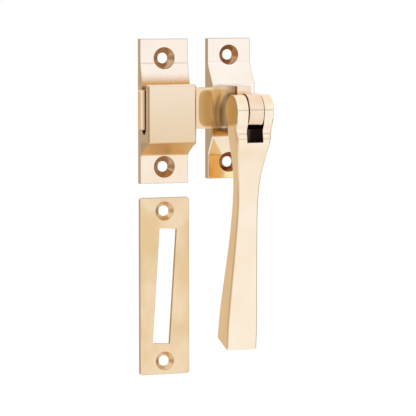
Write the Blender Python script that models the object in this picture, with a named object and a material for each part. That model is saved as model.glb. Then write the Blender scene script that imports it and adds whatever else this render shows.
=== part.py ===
"""Reversible casement window fastener in cast brass, with a hook plate and a mortice plate.

World frame, in metres: X across the window (the nose points to -X), +Z up, and the room is
towards -Y.  The origin is on the nose pivot's axis, at the back of the base plate.  Depths
are distances in front of that back face, so a depth d lies at Y = -d.
"""
import math

import bmesh
import bpy
from mathutils import Matrix, Vector

MM = 0.001
GAP = 0.3 * MM                  # running clearance between neighbouring pieces

# Base plate: flat ends that rise to a boss in the middle
BASE_WIDTH = 18.1 * MM
BASE_LENGTH = 56.0 * MM
END_THICKNESS = 3.0 * MM
BOSS_DEPTH = 8.5 * MM
BOSS_HALF = 10.5 * MM           # the boss is flat from -BOSS_HALF to +BOSS_HALF
RAMP_FOOT = 18.5 * MM           # the ramps start this far from the middle
RAMP_POWER = 1.15               # above 1, the ramps are hollow

# Screw holes, for No. 8 countersunk screws
HOLE_RADIUS = 2.1 * MM
SINK_RADIUS = 4.25 * MM
BASE_HOLE_Z = 21.4 * MM
HOOK_HOLE_TOP = 20.9 * MM       # from the middle of the hook plate
HOOK_HOLE_BOTTOM = -21.95 * MM

# Nose arm: a flat arm with a lug in front of the pivot
ARM_BACK = BOSS_DEPTH + GAP
ARM_FRONT = 13.0 * MM
ARM_TIP_FRONT = 12.4 * MM       # the nose thins towards its tip
ARM_TAPER_START = -18.0 * MM
ARM_TOP = 9.0 * MM
ARM_TIP_TOP = 8.2 * MM
ARM_BOTTOM = -7.3 * MM
ARM_REACH = 40.0 * MM
ARM_END_RADIUS = 8.6 * MM
LUG_LEFT = -2.55 * MM
LUG_RIGHT = 3.35 * MM
LUG_TOP = 9.55 * MM              # the lug is a little taller than the arm
LUG_BOTTOM = -9.0 * MM
LUG_SHOULDER = 19.2 * MM
LUG_FILLET = 4.8 * MM

# Knuckle joint between the lug and the handle
PIN_DEPTH = 27.0 * MM
KNUCKLE_RADIUS = 6.6 * MM
LUG_RADIUS = 6.95 * MM          # the lug's round end stands a little proud of the ears
KNUCKLE_HALF = 7.65 * MM
PIN_RADIUS = 2.3 * MM
PIN_BLIND = 1.6 * MM            # metal left at the blind end of the pin's bore
SLOT_BOTTOM = 11.8 * MM         # below the lug the handle's slot is a blind pocket,
SLOT_WEB_TOP = 7.05 * MM        # closed behind by a web up to this drop
SLOT_WEB_FRONT = -2.6 * MM

# Handle: stations down from the pin, as (drop, half width, front, back) in millimetres,
# with front and back measured forwards from the pin's axis
HANDLE_STATIONS = (
    (2.0, 7.60, 6.3, -5.0),
    (4.8, 7.55, 5.7, -5.0),
    (7.4, 7.45, 4.5, -5.3),
    (12.0, 6.80, 5.0, -5.6),
    (20.0, 5.60, 1.8, -5.5),
    (28.0, 4.60, -0.5, -6.7),
    (38.0, 4.25, -1.7, -8.6),
    (52.0, 4.70, -3.4, -10.9),
    (66.0, 5.35, -5.2, -14.1),
    (83.0, 6.15, -7.3, -17.8),
    (95.3, 6.30, -8.6, -20.2),
)
TIP_SLANT = 3.8 * MM            # the back of the tip is this much shorter than the front
HANDLE_CORNER = 1.1 * MM

# Pivot: a rivet with its head and washers in a pocket behind the boss
RIVET_RADIUS = 3.0 * MM
RIVET_HEAD_RADIUS = 5.2 * MM
RIVET_HEAD_BACK = 0.6 * MM
RIVET_HEAD_FRONT = 2.2 * MM
RIVET_END = 11.6 * MM
POCKET_RADIUS = 6.2 * MM
POCKET_DEPTH = 5.1 * MM
WASHER_RADIUS = 5.6 * MM
WASHER_THICKNESS = 0.7 * MM
SPRING_THICKNESS = 0.5 * MM
SPRING_WAVE = 0.25 * MM

# Hook plate: the keep that the nose turns down into
HOOK_X = -28.25 * MM
HOOK_Z = -0.5 * MM
HOOK_BACK = 3.3 * MM            # its frame stands this much proud of the sash
HOOK_WIDTH = 19.8 * MM
HOOK_LENGTH = 57.0 * MM
HOOK_FLOOR = 5.2 * MM
HOOK_BRIDGE_BACK = 10.1 * MM
HOOK_BRIDGE_FRONT = 13.5 * MM
HOOK_BRIDGE_TOP = 11.0 * MM
HOOK_BRIDGE_BOTTOM = -11.9 * MM
HOOK_SLOT_Z = -6.4 * MM         # centre of the slot's round bottom
HOOK_WEB_FOOT = -17.7 * MM
HOOK_WEB_POWER = 0.7            # below 1, the web's underside is hollow
HOOK_RAMP_TOP = 18.8 * MM
HOOK_LIP_RADIUS = 1.4 * MM

# Mortice plate: the other keep, a flat plate with a slanting slot
MORTICE_X = -27.75 * MM
MORTICE_Z = -70.1 * MM
MORTICE_BACK = 3.3 * MM
MORTICE_WIDTH = 20.6 * MM
MORTICE_LENGTH = 70.7 * MM
MORTICE_THICKNESS = 1.8 * MM
MORTICE_HOLE_Z = 30.0 * MM
MORTICE_SINK_RADIUS = 3.75 * MM
SLOT_LENGTH = 46.0 * MM
SLOT_WIDTH = 7.1 * MM
SLOT_TILT = math.radians(3.7)

EDGE = 0.5 * MM                 # softened edges of the castings
CIRCLE = 40                     # segments of a full circle

ALONG_X = Matrix(((0, 0, 1), (0, 1, 0), (-1, 0, 0))).to_4x4()
ALONG_Y = Matrix(((1, 0, 0), (0, 0, -1), (0, 1, 0))).to_4x4()


def clear_scene():
    for obj in list(bpy.data.objects):
        bpy.data.objects.remove(obj, do_unlink=True)


def make_material(name, colour, roughness, metallic=1.0):
    material = bpy.data.materials.new(name)
    material.use_nodes = True
    shader = material.node_tree.nodes["Principled BSDF"]
    shader.inputs["Base Color"].default_value = (*colour, 1.0)
    shader.inputs["Roughness"].default_value = roughness
    shader.inputs["Metallic"].default_value = metallic
    return material


def add_object(name, bm, material=None):
    bmesh.ops.recalc_face_normals(bm, faces=bm.faces)
    mesh = bpy.data.meshes.new(name)
    bm.to_mesh(mesh)
    bm.free()
    obj = bpy.data.objects.new(name, mesh)
    bpy.context.collection.objects.link(obj)
    if material:
        mesh.materials.append(material)
    return obj


def as_cutter(obj):
    obj.hide_render = True
    obj.display_type = "WIRE"
    return obj


def boolean(obj, other, operation):
    modifier = obj.modifiers.new(other.name, "BOOLEAN")
    modifier.operation = operation
    modifier.solver = "EXACT"
    modifier.object = as_cutter(other)


def bevel(obj, width, segments=2, angle=50):
    modifier = obj.modifiers.new("soft_edges", "BEVEL")
    modifier.width = width
    modifier.segments = segments
    modifier.limit_method = "ANGLE"
    modifier.angle_limit = math.radians(angle)
    modifier.use_clamp_overlap = True


def shade_round(obj, angle=35):
    obj.data.shade_smooth()
    obj.data.set_sharp_from_angle(angle=math.radians(angle))


def extrude_outline(name, points, start, end, place):
    """A prism: place(u, v, w) gives the world point of outline point (u, v) at height w."""
    bm = bmesh.new()
    first = [bm.verts.new(place(u, v, start)) for u, v in points]
    last = [bm.verts.new(place(u, v, end)) for u, v in points]
    bm.faces.new(first)
    bm.faces.new(last)
    count = len(points)
    for i in range(count):
        j = (i + 1) % count
        bm.faces.new((first[i], first[j], last[j], last[i]))
    return add_object(name, bm)


def side_view(depth, z, x):
    return Vector((x, -depth, z))


def plan_view(x, depth, z):
    return Vector((x, -depth, z))


def front_view(x, z, depth):
    return Vector((x, -depth, z))


def arc(centre_u, centre_v, radius, start, end, steps):
    """Points on an arc, with both ends, from start to end degrees."""
    points = []
    for i in range(steps + 1):
        angle = math.radians(start + (end - start) * i / steps)
        points.append((centre_u + radius * math.cos(angle), centre_v + radius * math.sin(angle)))
    return points


def turned(name, profile, axis, origin, steps=CIRCLE):
    """A solid of revolution: profile holds (radius, distance along the axis) pairs."""
    bm = bmesh.new()
    rings = []
    for radius, along in profile:
        if radius == 0:
            rings.append([bm.verts.new((0, 0, along))])
            continue
        ring = []
        for i in range(steps):
            angle = 2 * math.pi * i / steps
            ring.append(bm.verts.new((radius * math.cos(angle), radius * math.sin(angle), along)))
        rings.append(ring)
    for low, high in zip(rings, rings[1:]):
        for i in range(steps):
            j = (i + 1) % steps
            corners = [low[i % len(low)], low[j % len(low)], high[j % len(high)], high[i % len(high)]]
            bm.faces.new(list(dict.fromkeys(corners)))
    if rings[0] != rings[-1] and len(rings[0]) > 1 and len(rings[-1]) > 1:
        for i in range(steps):
            j = (i + 1) % steps
            bm.faces.new((rings[-1][i], rings[-1][j], rings[0][j], rings[0][i]))
    bmesh.ops.transform(bm, matrix=axis, verts=bm.verts)
    obj = add_object(name, bm)
    obj.location = origin
    return obj


def rod(name, radius, start, end, axis, origin, steps=CIRCLE):
    profile = ((0, start), (radius, start), (radius, end), (0, end))
    return turned(name, profile, axis, origin, steps)


def screw_hole(name, x, z, back, front, sink_radius):
    """The space of a countersunk screw hole whose sink opens on the front face."""
    sink = sink_radius - HOLE_RADIUS
    beyond = 1.0 * MM
    profile = (
        (0, back - beyond),
        (HOLE_RADIUS, back - beyond),
        (HOLE_RADIUS, front - sink),
        (sink_radius, front),
        (sink_radius + beyond, front + beyond),
        (0, front + beyond),
    )
    return turned(name, profile, ALONG_Y, (x, 0, z))


def base_outline():
    def ramp(steps=6):
        rise = BOSS_DEPTH - END_THICKNESS
        run = RAMP_FOOT - BOSS_HALF
        for i in range(steps + 1):
            t = i / steps
            yield END_THICKNESS + rise * t ** RAMP_POWER, RAMP_FOOT - run * t

    half = BASE_LENGTH / 2
    upper = [(0, half), (END_THICKNESS, half), *ramp()]
    return upper + [(depth, -z) for depth, z in reversed(upper)]


def build_base_plate(brass):
    plate = extrude_outline("base_plate", base_outline(), -BASE_WIDTH / 2, BASE_WIDTH / 2, side_view)
    plate.data.materials.append(brass)
    bevel(plate, EDGE)
    for side, label in ((1, "upper"), (-1, "lower")):
        hole = screw_hole(f"base_hole_{label}", 0, side * BASE_HOLE_Z, 0, END_THICKNESS, SINK_RADIUS)
        boolean(plate, hole, "DIFFERENCE")
    beyond = 1.0 * MM
    pocket = (
        (0, -beyond),
        (POCKET_RADIUS, -beyond),
        (POCKET_RADIUS, POCKET_DEPTH),
        (RIVET_RADIUS + GAP, POCKET_DEPTH),
        (RIVET_RADIUS + GAP, BOSS_DEPTH + beyond),
        (0, BOSS_DEPTH + beyond),
    )
    boolean(plate, turned("pivot_pocket", pocket, ALONG_Y, (0, 0, 0)), "DIFFERENCE")
    shade_round(plate)
    return plate


def build_pivot_rivet(steel, pivot):
    chamfer = 0.4 * MM
    profile = (
        (0, RIVET_HEAD_BACK),
        (RIVET_HEAD_RADIUS - chamfer, RIVET_HEAD_BACK),
        (RIVET_HEAD_RADIUS, RIVET_HEAD_BACK + chamfer),
        (RIVET_HEAD_RADIUS, RIVET_HEAD_FRONT),
        (RIVET_RADIUS, RIVET_HEAD_FRONT),
        (RIVET_RADIUS, RIVET_END - chamfer),
        (RIVET_RADIUS - chamfer, RIVET_END),
        (0, RIVET_END),
    )
    rivet = turned("pivot_rivet", profile, ALONG_Y, (0, 0, 0))
    rivet.data.materials.append(steel)
    rivet.parent = pivot
    shade_round(rivet)
    return rivet


def build_plain_washer(steel):
    back = RIVET_HEAD_FRONT + GAP
    inner = RIVET_RADIUS + GAP
    profile = (
        (inner, back),
        (WASHER_RADIUS, back),
        (WASHER_RADIUS, back + WASHER_THICKNESS),
        (inner, back + WASHER_THICKNESS),
    )
    washer = turned("plain_washer", profile, ALONG_Y, (0, 0, 0))
    washer.data.materials.append(steel)
    shade_round(washer)
    return washer


def build_spring_washer(steel):
    """A wave washer: three crests, between the plain washer and the pocket's floor."""
    waves = 3
    middle = (RIVET_HEAD_FRONT + GAP + WASHER_THICKNESS + POCKET_DEPTH) / 2
    bm = bmesh.new()
    rings = []
    for i in range(CIRCLE + 8):
        angle = 2 * math.pi * i / (CIRCLE + 8)
        height = middle + SPRING_WAVE * math.cos(waves * angle)
        ring = []
        for radius, side in ((3.6 * MM, -1), (5.4 * MM, -1), (5.4 * MM, 1), (3.6 * MM, 1)):
            depth = height + side * SPRING_THICKNESS / 2
            ring.append(bm.verts.new((radius * math.cos(angle), -depth, radius * math.sin(angle))))
        rings.append(ring)
    for low, high in zip(rings, rings[1:] + rings[:1]):
        for i in range(4):
            j = (i + 1) % 4
            bm.faces.new((low[i], low[j], high[j], high[i]))
    washer = add_object("spring_washer", bm, steel)
    shade_round(washer)
    return washer


def build_nose_arm(brass, pivot):
    """The arm's front view, plan and side view, each made a prism and then intersected."""
    corner = 1.0 * MM
    beyond = 2.0 * MM
    flare_start = LUG_LEFT - 1.5 * LUG_FILLET
    flare_end = LUG_LEFT - 0.5 * LUG_FILLET
    front = [
        *arc(0, 0, ARM_END_RADIUS, -62, 62, 16),
        (LUG_RIGHT, LUG_TOP),
        (flare_end, LUG_TOP),
        (flare_start, ARM_TOP),
        *arc(-ARM_REACH + corner, ARM_TIP_TOP - corner, corner, 90, 180, 3),
        *arc(-ARM_REACH + corner, ARM_BOTTOM + corner, corner, 180, 270, 3),
        (flare_start, ARM_BOTTOM),
        (flare_end, LUG_BOTTOM),
        (LUG_RIGHT, LUG_BOTTOM),
    ]
    tip = PIN_DEPTH + LUG_RADIUS
    arm = extrude_outline("nose_arm", front, ARM_BACK, tip + beyond, front_view)
    arm.data.materials.append(brass)
    fillet_depth = ARM_FRONT + LUG_FILLET
    plan = [
        (-ARM_REACH - beyond, ARM_BACK - beyond),
        (ARM_END_RADIUS + beyond, ARM_BACK - beyond),
        (ARM_END_RADIUS + beyond, ARM_FRONT),
        *arc(LUG_RIGHT + LUG_FILLET, fillet_depth, LUG_FILLET, 270, 180, 8),
        (LUG_RIGHT, tip + 2 * beyond),
        (LUG_LEFT, tip + 2 * beyond),
        *arc(LUG_LEFT - LUG_FILLET, fillet_depth, LUG_FILLET, 0, -90, 8),
        (ARM_TAPER_START, ARM_FRONT),
        (-ARM_REACH, ARM_TIP_FRONT),
        (-ARM_REACH - beyond, ARM_TIP_FRONT),
    ]
    plan_prism = extrude_outline("arm_plan", plan, 2 * LUG_BOTTOM, 2 * LUG_TOP, plan_view)
    boolean(arm, plan_prism, "INTERSECT")
    half = LUG_TOP + beyond
    chamfer = 0.4 * MM
    side = [
        (ARM_BACK - beyond, -half),
        (LUG_SHOULDER - chamfer - beyond, -half),
        (LUG_SHOULDER - chamfer, LUG_BOTTOM),
        (LUG_SHOULDER, LUG_BOTTOM + chamfer),
        *arc(PIN_DEPTH, 0, LUG_RADIUS, -125, 125, 26),
        (LUG_SHOULDER, LUG_TOP - chamfer),
        (LUG_SHOULDER - chamfer, LUG_TOP),
        (LUG_SHOULDER - chamfer - beyond, half),
        (ARM_BACK - beyond, half),
    ]
    side_prism = extrude_outline("arm_side", side, -ARM_REACH - 2 * beyond, 2 * ARM_END_RADIUS, side_view)
    boolean(arm, side_prism, "INTERSECT")
    pin_space = rod("lug_bore", PIN_RADIUS + GAP, -KNUCKLE_HALF, KNUCKLE_HALF, ALONG_X, (0, -PIN_DEPTH, 0))
    boolean(arm, pin_space, "DIFFERENCE")
    rivet_space = rod("rivet_bore", RIVET_RADIUS + GAP, 0, RIVET_END + GAP, ALONG_Y, (0, 0, 0))
    boolean(arm, rivet_space, "DIFFERENCE")
    arm.parent = pivot
    shade_round(arm)
    return arm


def handle_station(drop):
    """Half width, front and back at a drop, by a Catmull-Rom curve through the stations."""
    stations = HANDLE_STATIONS
    index = max(k for k in range(len(stations) - 1) if drop >= stations[k][0])
    before = stations[max(index - 1, 0)]
    start, end = stations[index], stations[index + 1]
    after = stations[min(index + 2, len(stations) - 1)]
    span = end[0] - start[0]
    t = (drop - start[0]) / span
    values = []
    for k in (1, 2, 3):
        slope_in = (end[k] - before[k]) / (end[0] - before[0]) * span
        slope_out = (after[k] - start[k]) / (after[0] - start[0]) * span
        values.append(
            (2 * t ** 3 - 3 * t ** 2 + 1) * start[k] + (t ** 3 - 2 * t ** 2 + t) * slope_in
            + (3 * t ** 2 - 2 * t ** 3) * end[k] + (t ** 3 - t ** 2) * slope_out
        )
    return values


def handle_section(half, front, back, corner, steps=3):
    """A rounded rectangle as (x, forwards) points, counter-clockwise from above."""
    points = []
    for centre_x, centre_y, start in (
        (half - corner, front - corner, 0),
        (corner - half, front - corner, 90),
        (corner - half, back + corner, 180),
        (half - corner, back + corner, 270),
    ):
        points += arc(centre_x, centre_y, corner, start, start + 90, steps)
    return points


def build_handle_blade():
    """The handle below its knuckle, lofted through sections square to Z."""
    top = HANDLE_STATIONS[0][0]
    length = HANDLE_STATIONS[-1][0]
    steps = 34
    bm = bmesh.new()
    rings = []
    for i in range(steps + 1):
        drop = top + (length - top) * (i / steps) ** 1.3
        half, front, back = handle_station(drop)
        corner = HANDLE_CORNER / MM
        slant = TIP_SLANT * (drop / length) ** 2
        ring = []
        for x, forwards in handle_section(half, front, back, corner):
            share = (front - forwards) / (front - back)
            z = -drop * MM + slant * share
            ring.append(bm.verts.new((x * MM, -forwards * MM, z)))
        rings.append(ring)
    count = len(rings[0])
    for low, high in zip(rings, rings[1:]):
        for i in range(count):
            j = (i + 1) % count
            bm.faces.new((low[i], low[j], high[j], high[i]))
    bm.faces.new(rings[0])
    bm.faces.new(rings[-1])
    return add_object("handle", bm)


def build_handle(brass, hinge):
    handle = build_handle_blade()
    handle.data.materials.append(brass)
    rim = 0.5 * MM
    knuckle_profile = (
        (0, -KNUCKLE_HALF),
        (KNUCKLE_RADIUS - rim, -KNUCKLE_HALF),
        (KNUCKLE_RADIUS, rim - KNUCKLE_HALF),
        (KNUCKLE_RADIUS, KNUCKLE_HALF - rim),
        (KNUCKLE_RADIUS - rim, KNUCKLE_HALF),
        (0, KNUCKLE_HALF),
    )
    boolean(handle, turned("handle_knuckle", knuckle_profile, ALONG_X, (0, 0, 0)), "UNION")
    reach = 12.0 * MM
    slot = [
        (SLOT_WEB_FRONT, -SLOT_BOTTOM),
        (reach, -SLOT_BOTTOM),
        (reach, reach),
        (-reach, reach),
        (-reach, -SLOT_WEB_TOP),
        (SLOT_WEB_FRONT, -SLOT_WEB_TOP),
    ]
    fork = extrude_outline("handle_fork", slot, LUG_LEFT - GAP, LUG_RIGHT + GAP, side_view)
    boolean(handle, fork, "DIFFERENCE")
    blind = -KNUCKLE_HALF + PIN_BLIND
    bore = rod("handle_bore", PIN_RADIUS + GAP, blind, KNUCKLE_HALF + 1.0 * MM, ALONG_X, (0, 0, 0))
    boolean(handle, bore, "DIFFERENCE")
    for cutter in (modifier.object for modifier in handle.modifiers):
        cutter.parent = hinge
    handle.parent = hinge
    shade_round(handle)
    return handle


def build_hinge_pin(steel, hinge):
    chamfer = 0.3 * MM
    start = -KNUCKLE_HALF + PIN_BLIND + GAP
    profile = (
        (0, start),
        (PIN_RADIUS - chamfer, start),
        (PIN_RADIUS, start + chamfer),
        (PIN_RADIUS, KNUCKLE_HALF - chamfer),
        (PIN_RADIUS - chamfer, KNUCKLE_HALF),
        (0, KNUCKLE_HALF),
    )
    pin = turned("hinge_pin", profile, ALONG_X, (0, 0, 0))
    pin.data.materials.append(steel)
    pin.parent = hinge
    shade_round(pin)
    return pin


def hook_outline():
    """Side view of the hook plate, with depths from its own back face."""
    half = HOOK_LENGTH / 2
    slot_radius = (HOOK_BRIDGE_BACK - HOOK_FLOOR) / 2
    slot_depth = HOOK_FLOOR + slot_radius
    rise = HOOK_BRIDGE_FRONT - END_THICKNESS
    drop = HOOK_BRIDGE_BOTTOM - HOOK_WEB_FOOT
    steps = 10
    web = []
    for i in range(1, steps):
        share = (1 - i / steps) ** 1.6
        web.append((END_THICKNESS + rise * share, HOOK_WEB_FOOT + drop * share ** HOOK_WEB_POWER))
    return [
        (0, half),
        (END_THICKNESS, half),
        (END_THICKNESS, HOOK_RAMP_TOP),
        (HOOK_FLOOR, HOOK_BRIDGE_TOP),
        *arc(slot_depth, HOOK_SLOT_Z, slot_radius, 180, 360, 10),
        *arc(HOOK_BRIDGE_BACK + HOOK_LIP_RADIUS, HOOK_BRIDGE_TOP - HOOK_LIP_RADIUS,
             HOOK_LIP_RADIUS, 180, 90, 4),
        (HOOK_BRIDGE_FRONT, HOOK_BRIDGE_TOP),
        (HOOK_BRIDGE_FRONT, HOOK_BRIDGE_BOTTOM),
        *web,
        (END_THICKNESS, HOOK_WEB_FOOT),
        (END_THICKNESS, -half),
        (0, -half),
    ]


def build_hook_plate(brass):
    def place(depth, z, x):
        return Vector((HOOK_X + x, -(HOOK_BACK + depth), HOOK_Z + z))

    hook = extrude_outline("hook_plate", hook_outline(), -HOOK_WIDTH / 2, HOOK_WIDTH / 2, place)
    hook.data.materials.append(brass)
    bevel(hook, EDGE)
    front = HOOK_BACK + END_THICKNESS
    for height, label in ((HOOK_HOLE_TOP, "upper"), (HOOK_HOLE_BOTTOM, "lower")):
        hole = screw_hole(f"hook_hole_{label}", HOOK_X, HOOK_Z + height, HOOK_BACK, front, SINK_RADIUS)
        boolean(hook, hole, "DIFFERENCE")
    shade_round(hook)
    return hook


def build_mortice_plate(brass):
    corner = 1.0 * MM
    half_x = MORTICE_WIDTH / 2
    half_z = MORTICE_LENGTH / 2
    outline = [
        *arc(half_x - corner, half_z - corner, corner, 0, 90, 4),
        *arc(corner - half_x, half_z - corner, corner, 90, 180, 4),
        *arc(corner - half_x, corner - half_z, corner, 180, 270, 4),
        *arc(half_x - corner, corner - half_z, corner, 270, 360, 4),
    ]

    def place(x, z, depth):
        return Vector((MORTICE_X + x, -depth, MORTICE_Z + z))

    front = MORTICE_BACK + MORTICE_THICKNESS
    plate = extrude_outline("mortice_plate", outline, MORTICE_BACK, front, place)
    plate.data.materials.append(brass)
    bevel(plate, 0.3 * MM)
    for side, label in ((1, "upper"), (-1, "lower")):
        z = MORTICE_Z + side * MORTICE_HOLE_Z
        hole = screw_hole(f"mortice_hole_{label}", MORTICE_X, z, MORTICE_BACK, front, MORTICE_SINK_RADIUS)
        boolean(plate, hole, "DIFFERENCE")
    end = SLOT_LENGTH / 2
    side = SLOT_WIDTH / 2
    beyond = 1.0 * MM
    slot_outline = [(side, end), (-side, end), (-side, -end), (side, -end)]
    slot = extrude_outline("mortice_slot", slot_outline, -beyond, MORTICE_THICKNESS + beyond, front_view)
    slot.location = (MORTICE_X, -MORTICE_BACK, MORTICE_Z)
    slot.rotation_euler = (0, SLOT_TILT, 0)
    boolean(plate, slot, "DIFFERENCE")
    shade_round(plate)
    return plate


def add_empty(name, location, parent=None):
    empty = bpy.data.objects.new(name, None)
    empty.location = location
    empty.parent = parent
    bpy.context.collection.objects.link(empty)
    return empty


def main():
    clear_scene()
    polished = (0.86, 0.62, 0.30)
    pivot = add_empty("nose_pivot", (0, 0, 0))
    hinge = add_empty("handle_hinge", (0, -PIN_DEPTH, 0), pivot)
    build_base_plate(make_material("base_brass", polished, 0.22))
    build_pivot_rivet(make_material("rivet_steel", (0.55, 0.54, 0.52), 0.35), pivot)
    build_plain_washer(make_material("washer_steel", (0.60, 0.60, 0.60), 0.35))
    build_spring_washer(make_material("spring_steel", (0.42, 0.42, 0.44), 0.30))
    build_nose_arm(make_material("nose_brass", polished, 0.20), pivot)
    build_handle(make_material("handle_brass", polished, 0.18), hinge)
    build_hinge_pin(make_material("pin_steel", (0.58, 0.57, 0.55), 0.30), hinge)
    build_hook_plate(make_material("hook_brass", polished, 0.22))
    build_mortice_plate(make_material("mortice_brass", polished, 0.25))


main()
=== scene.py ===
"""Looks for the casement fastener: finely rounded castings, polished brass and a plain studio.

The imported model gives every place: each casting is built here again from its node's box, with
finer curves and softened edges, and stands for that node.  World frame, in metres: the nose
points to -X, +Z is up and the room is towards -Y.  A depth d lies at Y = -d.
"""
import math

import bmesh
import bpy
from mathutils import Matrix, Vector


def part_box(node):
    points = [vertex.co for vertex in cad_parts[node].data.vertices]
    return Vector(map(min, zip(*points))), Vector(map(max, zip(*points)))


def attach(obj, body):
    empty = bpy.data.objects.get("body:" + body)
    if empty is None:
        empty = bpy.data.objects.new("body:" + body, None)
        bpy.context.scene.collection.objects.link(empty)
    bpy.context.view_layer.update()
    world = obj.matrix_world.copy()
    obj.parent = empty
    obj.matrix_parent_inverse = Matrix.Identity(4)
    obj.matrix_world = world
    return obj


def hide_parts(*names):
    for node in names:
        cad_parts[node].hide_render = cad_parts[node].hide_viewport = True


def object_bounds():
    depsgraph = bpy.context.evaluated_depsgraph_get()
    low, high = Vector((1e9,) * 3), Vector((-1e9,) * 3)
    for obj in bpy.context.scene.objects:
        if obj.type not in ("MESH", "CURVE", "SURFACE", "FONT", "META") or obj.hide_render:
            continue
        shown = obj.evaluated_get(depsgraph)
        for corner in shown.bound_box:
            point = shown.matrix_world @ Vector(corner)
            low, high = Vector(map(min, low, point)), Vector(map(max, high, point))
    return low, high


MM = 0.001

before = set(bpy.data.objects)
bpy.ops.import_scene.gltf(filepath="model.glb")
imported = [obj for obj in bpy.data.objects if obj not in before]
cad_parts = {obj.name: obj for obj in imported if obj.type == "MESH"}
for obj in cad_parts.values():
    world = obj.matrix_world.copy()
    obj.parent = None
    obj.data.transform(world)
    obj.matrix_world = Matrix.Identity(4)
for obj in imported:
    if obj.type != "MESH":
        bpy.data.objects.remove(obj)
cad_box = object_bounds()

# Countersunk screw holes
HOLE_RADIUS = 2.1 * MM
SINK_RADIUS = 4.25 * MM
BASE_SINK_RADIUS = 3.9 * MM
MORTICE_SINK_RADIUS = 3.75 * MM
HOLE_INSET = 6.6 * MM           # from the end of the base plate to the hole's centre
HOOK_HOLE_TOP = 7.6 * MM        # from the hook plate's ends
HOOK_HOLE_BOTTOM = 6.55 * MM
MORTICE_HOLE_INSET = 5.35 * MM

# Base plate and hook plate sections
END_THICKNESS = 3.0 * MM
BOSS_HALF = 10.5 * MM
RAMP_FOOT = 18.5 * MM
RAMP_POWER = 1.15
HOOK_FLOOR = 5.2 * MM
HOOK_BRIDGE_BACK = 10.1 * MM
HOOK_BRIDGE_TOP = 11.0 * MM
HOOK_BRIDGE_BOTTOM = -11.9 * MM
HOOK_SLOT_Z = -6.4 * MM
HOOK_WEB_FOOT = -17.7 * MM
HOOK_WEB_POWER = 0.7
HOOK_RAMP_TOP = 18.8 * MM
HOOK_LIP_RADIUS = 1.4 * MM

# Nose arm and knuckle
ARM_FRONT = 13.0 * MM
ARM_TIP_FRONT = 12.4 * MM
ARM_TAPER_START = -18.0 * MM
ARM_TOP = 9.0 * MM
ARM_TIP_TOP = 8.2 * MM
ARM_BOTTOM = -7.3 * MM
ARM_END_RADIUS = 8.6 * MM
LUG_LEFT = -2.55 * MM
LUG_RIGHT = 3.35 * MM
LUG_TOP = 9.55 * MM
LUG_BOTTOM = -9.0 * MM
LUG_SHOULDER = 19.2 * MM
LUG_NOTCH = 5.2 * MM            # height of the shoulder's foot above and below the pin
LUG_FILLET = 4.8 * MM
PIN_DEPTH = 27.0 * MM
PIN_BORE = 2.4 * MM
KNUCKLE_RADIUS = 6.6 * MM
LUG_RADIUS = 6.95 * MM
KNUCKLE_HALF = 7.65 * MM
FORK_GAP = 0.3 * MM
FORK_BOTTOM = 11.8 * MM
FORK_WEB_TOP = 7.05 * MM
FORK_WEB_DEPTH = PIN_DEPTH - 2.6 * MM
PIN_BLIND = 1.6 * MM

# Handle stations: (drop, half width, front, back) in millimetres from the pin's axis
HANDLE_STATIONS = (
    (2.0, 7.60, 6.3, -5.0),
    (4.8, 7.55, 5.7, -5.0),
    (7.4, 7.45, 4.5, -5.3),
    (12.0, 6.80, 5.0, -5.6),
    (20.0, 5.60, 1.8, -5.5),
    (28.0, 4.60, -0.5, -6.7),
    (38.0, 4.25, -1.7, -8.6),
    (52.0, 4.70, -3.4, -10.9),
    (66.0, 5.35, -5.2, -14.1),
    (83.0, 6.15, -7.3, -17.8),
    (95.3, 6.30, -8.6, -20.2),
)
TIP_SLANT = 3.8 * MM

# Mortice plate
SLOT_LENGTH = 46.0 * MM
SLOT_WIDTH = 7.1 * MM
SLOT_TILT = math.radians(3.7)

# Pivot pocket behind the base plate
POCKET_RADIUS = 6.2 * MM
POCKET_DEPTH = 5.1 * MM
RIVET_BORE = 3.3 * MM

FINE_CIRCLE = 96

ALONG_X = Matrix(((0, 0, 1), (0, 1, 0), (-1, 0, 0))).to_4x4()
ALONG_Y = Matrix(((1, 0, 0), (0, 0, -1), (0, 1, 0))).to_4x4()


# ---------------------------------------------------------------- geometry helpers

def mesh_object(name, bm):
    bmesh.ops.recalc_face_normals(bm, faces=bm.faces)
    mesh = bpy.data.meshes.new(name)
    bm.to_mesh(mesh)
    bm.free()
    obj = bpy.data.objects.new(name, mesh)
    bpy.context.scene.collection.objects.link(obj)
    return obj


def apply_modifiers(obj):
    graph = bpy.context.evaluated_depsgraph_get()
    mesh = bpy.data.meshes.new_from_object(obj.evaluated_get(graph))
    obj.modifiers.clear()
    obj.data = mesh


def combine(obj, other, operation):
    """A Boolean with another object, applied at once; the other object is used up."""
    modifier = obj.modifiers.new("combine", "BOOLEAN")
    modifier.operation = operation
    modifier.solver = "EXACT"
    modifier.object = other
    apply_modifiers(obj)
    bpy.data.objects.remove(other, do_unlink=True)


def soften(obj, width, segments=3, angle=30):
    modifier = obj.modifiers.new("soften", "BEVEL")
    modifier.width = width
    modifier.segments = segments
    modifier.limit_method = "ANGLE"
    modifier.angle_limit = math.radians(angle)
    modifier.miter_outer = "MITER_ARC"
    apply_modifiers(obj)


def shade(obj, angle=32):
    obj.data.shade_smooth()
    obj.data.set_sharp_from_angle(angle=math.radians(angle))
    modifier = obj.modifiers.new("weighted_normals", "WEIGHTED_NORMAL")
    modifier.keep_sharp = True
    modifier.weight = 80
    apply_modifiers(obj)


def arc(centre_u, centre_v, radius, start, end, steps):
    points = []
    for i in range(steps + 1):
        angle = math.radians(start + (end - start) * i / steps)
        points.append((centre_u + radius * math.cos(angle), centre_v + radius * math.sin(angle)))
    return points


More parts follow.
